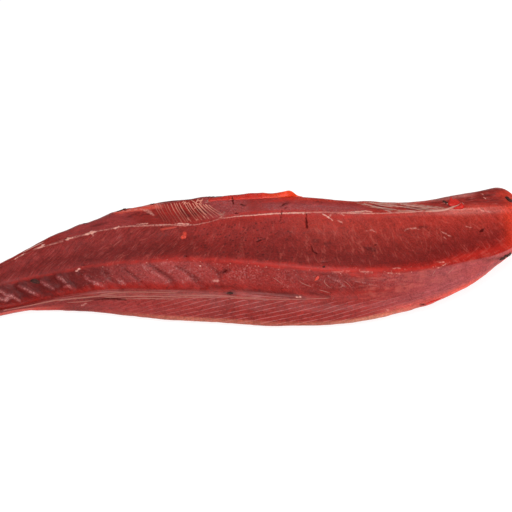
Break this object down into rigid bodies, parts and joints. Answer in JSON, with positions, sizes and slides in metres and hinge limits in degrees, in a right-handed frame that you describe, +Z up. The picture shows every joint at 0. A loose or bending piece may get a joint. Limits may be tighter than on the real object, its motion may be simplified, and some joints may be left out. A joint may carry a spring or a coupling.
{
  "type": "raw tuna loin",
  "caption": "Long boneless loin of raw red fish, thin at the tail and blunt at the head end, with cut faces, a trimmed backbone trough and a rounded skin side that it rests on.",
  "frame": {"origin": "middle of the bounding box at the level of the surface that the loin lies on", "axes": "+X along the loin towards the blunt head end, +Y towards the back with the uncut skin side, +Z up"},
  "size_m": [0.604, 0.1558, 0.0699],
  "materials": {
    "flesh": "wet raw red flesh, brownish red on the cut faces and pinker on the belly side, with fine muscle fibres, pale connective lines and a moist sheen",
    "fascia": "thin pale pinkish connective tissue, moist and slightly see-through",
    "skin": "small torn scraps of dark, wet, greenish black skin"
  },
  "bodies": {
    "root": {"tuna_loin": "flesh"}
  },
  "joints": []
}
